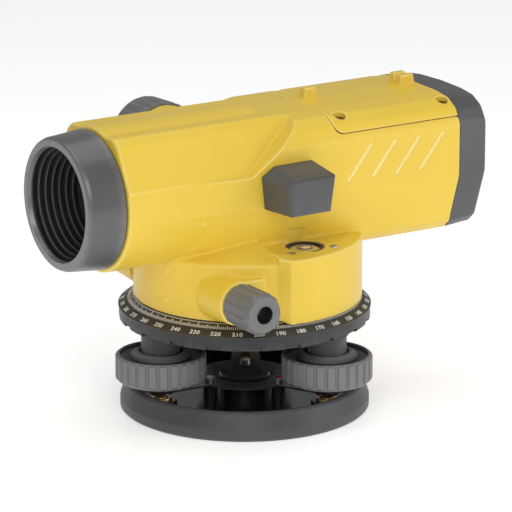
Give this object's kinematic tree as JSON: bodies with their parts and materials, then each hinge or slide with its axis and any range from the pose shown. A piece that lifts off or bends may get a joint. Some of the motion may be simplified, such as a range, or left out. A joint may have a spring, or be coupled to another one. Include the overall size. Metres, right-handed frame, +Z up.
{
  "type": "automatic level",
  "caption": "Surveying level with a self-levelling telescope, horizontal circle, fine-motion drive, bubble prism and foot screws on a round tripod base.",
  "frame": {"origin": "centre of the tripod thread on the base plate's underside", "axes": "+Z up along the standing axis; the telescope lies along X with its eyepiece at +X; the circular level is on the -Y side and the focusing knob on the +Y side"},
  "size_m": [0.2095, 0.13, 0.137],
  "materials": {
    "yellow_paint": "satin",
    "dark_paint": "satin",
    "black_anodised": "satin",
    "circle_black": "satin",
    "grey_plastic": "matte",
    "steel": "brushed",
    "brass": "satin",
    "glass": "polished",
    "rubber": "matte",
    "yellow_plastic": "satin",
    "vial_glass": "polished",
    "magnet": "matte"
  },
  "bodies": {
    "base": {"base_plate": "dark_paint", "tripod_bush": "black_anodised", "spring_plate": "black_anodised", "spring_plate_screws": "steel", "front_thrust_washer": "steel"},
    "level_pivot": {"rear_thrust_washers": "steel"},
    "head": {"head_casting": "dark_paint", "foot_bushes": "brass", "spindle": "steel", "retaining_clip": "steel"},
    "circle": {"horizontal_circle": "circle_black"},
    "alidade": {"main_housing": "yellow_paint", "top_cover": "yellow_plastic", "cover_screws": "steel", "rear_cap": "grey_plastic", "cap_screws": "steel", "bottom_plate": "black_anodised", "axis_bearing": "brass", "objective_hood": "grey_plastic", "objective_cell": "black_anodised", "lens_ring": "black_anodised", "objective_lenses": "glass", "focus_guide": "black_anodised", "focus_bush": "brass", "fine_bearings": "brass", "compensator_frame": "black_anodised", "fixed_prisms": "glass", "damper_magnets": "magnet", "reticle_mount": "black_anodised", "reticle": "glass", "level_cup": "black_anodised", "level_vial": "vial_glass", "level_screws": "steel", "prism_hood": "grey_plastic", "level_prism": "glass"},
    "fine_drive": {"worm": "steel", "fine_shaft": "steel", "fine_knobs": "grey_plastic"},
    "clutch_gear": {"drive_gear": "brass"},
    "focus_drive": {"focus_pinion": "steel", "focus_knob": "grey_plastic"},
    "focus_slide": {"focus_cell": "black_anodised", "focus_rack": "brass", "focus_lens": "glass"},
    "pendulum": {"pendulum": "brass", "pendulum_prism": "glass", "suspension_tapes": "steel"},
    "diopter": {"diopter_ring": "grey_plastic"},
    "eyepiece": {"eyepiece_cell": "black_anodised", "eye_lenses": "glass", "eyecup": "rubber"},
    "shoe_front": {"foot_shoe_front": "brass"},
    "foot_screw_front": {"foot_spindle_front": "brass", "foot_knob_front": "grey_plastic"},
    "shoe_left": {"foot_shoe_left": "brass"},
    "foot_screw_left": {"foot_spindle_left": "brass", "foot_knob_left": "grey_plastic"},
    "shoe_right": {"foot_shoe_right": "brass"},
    "foot_screw_right": {"foot_spindle_right": "brass", "foot_knob_right": "grey_plastic"}
  },
  "joints": [
    {"name": "tilt_lengthways", "type": "hinge", "parent": "base", "child": "level_pivot", "pos_m": [0.02047, -0.00107, 0.008], "axis": [0.0523, 0.9986, 0], "range_deg": [-1.5, 1.5]},
    {"name": "tilt_sideways", "type": "hinge", "parent": "level_pivot", "child": "head", "pos_m": [-0.04094, 0.00215, 0.008], "axis": [0.9986, -0.0523, 0], "range_deg": [-2.6, 2.6]},
    {"name": "foot_screw_travel_front", "type": "slide", "parent": "head", "child": "shoe_front", "axis": [0, 0, 1], "range_m": [-0.0015, 0.0015]},
    {"name": "foot_screw_travel_left", "type": "slide", "parent": "head", "child": "shoe_left", "axis": [0, 0, 1], "range_m": [-0.0015, 0.0015]},
    {"name": "foot_screw_travel_right", "type": "slide", "parent": "head", "child": "shoe_right", "axis": [0, 0, 1], "range_m": [-0.0015, 0.0015]},
    {"name": "foot_screw_turn_front", "type": "hinge", "parent": "shoe_front", "child": "foot_screw_front", "pos_m": [-0.04094, 0.00215, 0.0235], "axis": [0, 0, 1], "range_deg": [-725, 725]},
    {"name": "foot_screw_turn_left", "type": "hinge", "parent": "shoe_left", "child": "foot_screw_left", "pos_m": [0.01861, -0.03653, 0.0235], "axis": [0, 0, 1], "range_deg": [-725, 725]},
    {"name": "foot_screw_turn_right", "type": "hinge", "parent": "shoe_right", "child": "foot_screw_right", "pos_m": [0.02233, 0.03439, 0.0235], "axis": [0, 0, 1], "range_deg": [-725, 725]},
    {"name": "circle_turn", "type": "hinge", "parent": "head", "child": "circle", "pos_m": [0, 0, 0.043], "axis": [0, 0, 1], "continuous": true},
    {"name": "alidade_turn", "type": "hinge", "parent": "head", "child": "alidade", "pos_m": [0, 0, 0.054], "axis": [0, 0, 1], "continuous": true},
    {"name": "fine_turn", "type": "hinge", "parent": "alidade", "child": "fine_drive", "pos_m": [-0.031, 0, 0.0613], "axis": [0, 1, 0], "continuous": true},
    {"name": "clutch_gear_turn", "type": "hinge", "parent": "alidade", "child": "clutch_gear", "pos_m": [0, 0, 0.0613], "axis": [0, 0, 1], "continuous": true},
    {"name": "focus_turn", "type": "hinge", "parent": "alidade", "child": "focus_drive", "pos_m": [-0.0124, 0.0558, 0.1094], "axis": [0, 1, 0], "range_deg": [-180, 180]},
    {"name": "focus_travel", "type": "slide", "parent": "alidade", "child": "focus_slide", "axis": [1, 0, 0], "range_m": [-0.0094, 0.0094]},
    {"name": "pendulum_swing", "type": "hinge", "parent": "alidade", "child": "pendulum", "pos_m": [0.047, 0, 0.1246], "axis": [0, 1, 0], "range_deg": [-1, 1]},
    {"name": "diopter_turn", "type": "hinge", "parent": "alidade", "child": "diopter", "pos_m": [0.1055, 0, 0.1025], "axis": [1, 0, 0], "range_deg": [-150, 150]},
    {"name": "eyepiece_travel", "type": "slide", "parent": "alidade", "child": "eyepiece", "axis": [1, 0, 0], "range_m": [-0.00117, 0.00117]}
  ],
  "couplings": [
    {"joint": "tilt_lengthways", "follows": "foot_screw_travel_front", "rad_per_m": -16.26},
    {"joint": "foot_screw_turn_front", "follows": "foot_screw_travel_front", "rad_per_m": 8377.6},
    {"joint": "tilt_sideways", "follows": "foot_screw_travel_left", "rad_per_m": 28.163},
    {"joint": "foot_screw_turn_left", "follows": "foot_screw_travel_left", "rad_per_m": 8377.6},
    {"joint": "foot_screw_travel_right", "follows": "foot_screw_travel_left", "ratio": -1},
    {"joint": "foot_screw_turn_right", "follows": "foot_screw_travel_left", "rad_per_m": -8377.6},
    {"joint": "clutch_gear_turn", "follows": "fine_turn", "ratio": 0.0096154},
    {"joint": "focus_turn", "follows": "focus_travel", "rad_per_m": -333.33},
    {"joint": "diopter_turn", "follows": "eyepiece_travel", "rad_per_m": 2222.2}
  ]
}
